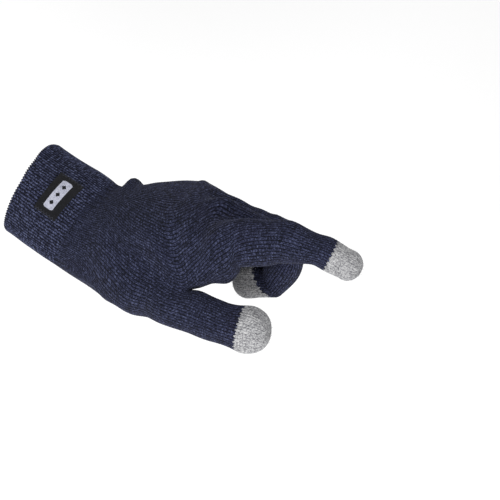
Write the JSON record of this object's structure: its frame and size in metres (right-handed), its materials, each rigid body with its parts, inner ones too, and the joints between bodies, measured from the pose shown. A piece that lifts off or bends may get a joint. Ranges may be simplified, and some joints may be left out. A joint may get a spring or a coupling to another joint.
{
  "type": "glove",
  "caption": "Hollow knitted left glove in a pointing pose, with a ribbed cuff, a woven label and grey touchscreen fingertips; it bends at the wrist, thumb and finger joints.",
  "frame": {"origin": "centre of the cuff's opening, where the wearer's arm goes in", "axes": "+X along the cuff towards the hand, +Y towards the little finger, +Z towards the back of the hand"},
  "size_m": [0.2029, 0.1142, 0.1019],
  "materials": {
    "navy_knit": "fine plain knit, navy melange",
    "cuff_knit": "fine rib knit, navy melange",
    "edge_yarn": "overlocked yarn",
    "grey_knit": "plain knit, light grey melange, conductive yarn",
    "label_cloth": "dense black satin weave",
    "label_motif": "off-white woven thread",
    "stitch_thread": "black sewing thread"
  },
  "bodies": {
    "cuff": {"cuff_rib": "cuff_knit", "cuff_edge": "edge_yarn", "label": "label_cloth", "label_motif": "label_motif", "label_stitch_thumb_side": "stitch_thread", "label_stitch_little_side": "stitch_thread"},
    "palm": {"palm": "navy_knit"},
    "thumb_root": {"thumb_root": "navy_knit"},
    "thumb_tip": {"thumb_tip": "grey_knit"},
    "index_root": {"index_root": "navy_knit"},
    "index_middle": {"index_middle": "navy_knit"},
    "index_tip": {"index_tip": "grey_knit"},
    "middle_root": {"middle_root": "navy_knit"},
    "middle_middle": {"middle_middle": "navy_knit"},
    "middle_tip": {"middle_tip": "grey_knit"},
    "ring_root": {"ring_root": "navy_knit"},
    "ring_middle": {"ring_middle": "navy_knit"},
    "ring_tip": {"ring_tip": "navy_knit"},
    "little_root": {"little_root": "navy_knit"},
    "little_middle": {"little_middle": "navy_knit"},
    "little_tip": {"little_tip": "navy_knit"}
  },
  "joints": [
    {"name": "wrist", "type": "hinge", "parent": "cuff", "child": "palm", "pos_m": [0.055, 0, 0], "axis": [0, 0.8829, -0.4695], "range_deg": [-18, 38]},
    {"name": "thumb_root", "type": "hinge", "parent": "palm", "child": "thumb_root", "pos_m": [0.12112, -0.01643, 0.02095], "axis": [0.2024, 0.0084, -0.9793], "range_deg": [-22, 20]},
    {"name": "thumb_end", "type": "hinge", "parent": "thumb_root", "child": "thumb_tip", "pos_m": [0.15408, -0.01168, 0.0278], "axis": [0.2024, 0.0084, -0.9793], "range_deg": [-45, 12]},
    {"name": "index_knuckle", "type": "hinge", "parent": "palm", "child": "index_root", "pos_m": [0.11754, 0.01459, 0.05169], "axis": [-0.2242, 0.8429, -0.4891], "range_deg": [-27, 38]},
    {"name": "index_bend", "type": "hinge", "parent": "index_root", "child": "index_middle", "pos_m": [0.15638, 0.03281, 0.06529], "axis": [-0.2242, 0.8429, -0.4891], "range_deg": [-16, 80]},
    {"name": "index_end", "type": "hinge", "parent": "index_middle", "child": "index_tip", "pos_m": [0.1798, 0.03985, 0.06669], "axis": [-0.2242, 0.8429, -0.4891], "range_deg": [-9.6, 48]},
    {"name": "middle_knuckle", "type": "hinge", "parent": "palm", "child": "middle_root", "pos_m": [0.1137, 0.03585, 0.0451], "axis": [-0.2242, 0.8429, -0.4891], "range_deg": [-47, 27]},
    {"name": "middle_bend", "type": "hinge", "parent": "middle_root", "child": "middle_middle", "pos_m": [0.1591, 0.04803, 0.04529], "axis": [-0.2242, 0.8429, -0.4891], "range_deg": [-102, 5]},
    {"name": "middle_end", "type": "hinge", "parent": "middle_middle", "child": "middle_tip", "pos_m": [0.15657, 0.03353, 0.02147], "axis": [-0.2242, 0.8429, -0.4891], "range_deg": [-51, 2.5]},
    {"name": "ring_knuckle", "type": "hinge", "parent": "palm", "child": "ring_root", "pos_m": [0.10763, 0.05113, 0.03169], "axis": [-0.2622, 0.8169, -0.5138], "range_deg": [-51, 24]},
    {"name": "ring_bend", "type": "hinge", "parent": "ring_root", "child": "ring_middle", "pos_m": [0.14997, 0.06258, 0.02828], "axis": [-0.2622, 0.8169, -0.5138], "range_deg": [-102, 5]},
    {"name": "ring_end", "type": "hinge", "parent": "ring_middle", "child": "ring_tip", "pos_m": [0.14598, 0.04745, 0.00627], "axis": [-0.2622, 0.8169, -0.5138], "range_deg": [-51, 2.5]},
    {"name": "little_knuckle", "type": "hinge", "parent": "palm", "child": "little_root", "pos_m": [0.09953, 0.06134, 0.01273], "axis": [-0.3241, 0.7684, -0.5518], "range_deg": [-53, 24]},
    {"name": "little_bend", "type": "hinge", "parent": "little_root", "child": "little_middle", "pos_m": [0.13165, 0.07139, 0.00786], "axis": [-0.3241, 0.7684, -0.5518], "range_deg": [-102, 5]},
    {"name": "little_end", "type": "hinge", "parent": "little_middle", "child": "little_tip", "pos_m": [0.12827, 0.05838, -0.00827], "axis": [-0.3241, 0.7684, -0.5518], "range_deg": [-51, 2.5]}
  ],
  "couplings": [
    {"joint": "index_end", "follows": "index_bend", "ratio": 0.6},
    {"joint": "middle_end", "follows": "middle_bend", "ratio": 0.5},
    {"joint": "ring_end", "follows": "ring_bend", "ratio": 0.5},
    {"joint": "little_end", "follows": "little_bend", "ratio": 0.5}
  ]
}
